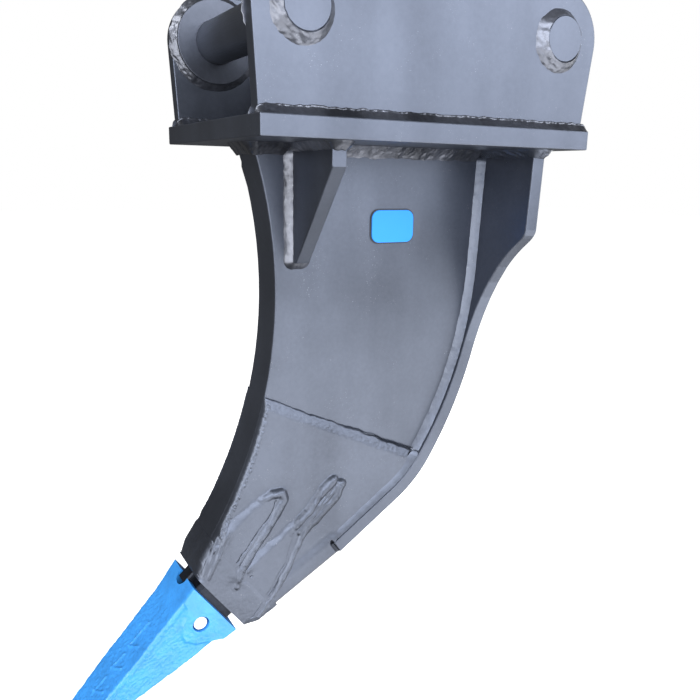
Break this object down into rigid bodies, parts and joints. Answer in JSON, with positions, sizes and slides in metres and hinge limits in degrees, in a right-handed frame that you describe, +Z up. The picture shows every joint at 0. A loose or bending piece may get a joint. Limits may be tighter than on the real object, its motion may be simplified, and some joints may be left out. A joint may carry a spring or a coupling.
{
  "type": "excavator ripper",
  "caption": "Single-shank excavator ripper: pinned hitch with two ears, a curved shank with a rear flange, a cast adaptor and a replaceable side-pinned point.",
  "frame": {"origin": "midway between the two hitch pins' centres, in the middle plane", "axes": "+Z up towards the hitch pins, -X the front, where the point curls towards the machine, -Y the left side"},
  "size_m": [0.7185, 0.354, 0.9941],
  "materials": {
    "graphite_paint": "semi-gloss dark graphite paint with a fine metallic flake",
    "dark_graphite_paint": "the same paint on the pins and bosses",
    "cast_graphite_paint": "the same paint over a pitted casting",
    "blue_paint": "bright blue paint over a rough casting",
    "bright_steel": "bright turned steel",
    "spring_steel": "dark oiled spring steel",
    "badge_paint": "blue semi-gloss paint"
  },
  "bodies": {
    "shank_assembly": {"base_plate": "graphite_paint", "left_ear": "graphite_paint", "right_ear": "graphite_paint", "shank_plate": "graphite_paint", "rear_flange": "graphite_paint", "left_gusset": "graphite_paint", "right_gusset": "graphite_paint", "left_wear_plate": "graphite_paint", "right_wear_plate": "graphite_paint", "front_hitch_pin": "dark_graphite_paint", "rear_hitch_pin": "dark_graphite_paint", "front_left_boss": "dark_graphite_paint", "front_right_boss": "dark_graphite_paint", "rear_left_boss": "dark_graphite_paint", "rear_right_boss": "dark_graphite_paint", "nose_adaptor": "cast_graphite_paint", "pin_retainer": "spring_steel", "badge": "badge_paint"},
    "point": {"tooth_point": "blue_paint"},
    "side_pin": {"retaining_pin": "bright_steel"}
  },
  "joints": [
    {"name": "point_slide", "type": "slide", "parent": "shank_assembly", "child": "point", "axis": [-0.8039, 0, -0.5948], "range_m": [0, 0.0012]},
    {"name": "pin_drive_out", "type": "slide", "parent": "shank_assembly", "child": "side_pin", "axis": [0, -1, 0], "range_m": [0, 0.1]}
  ]
}
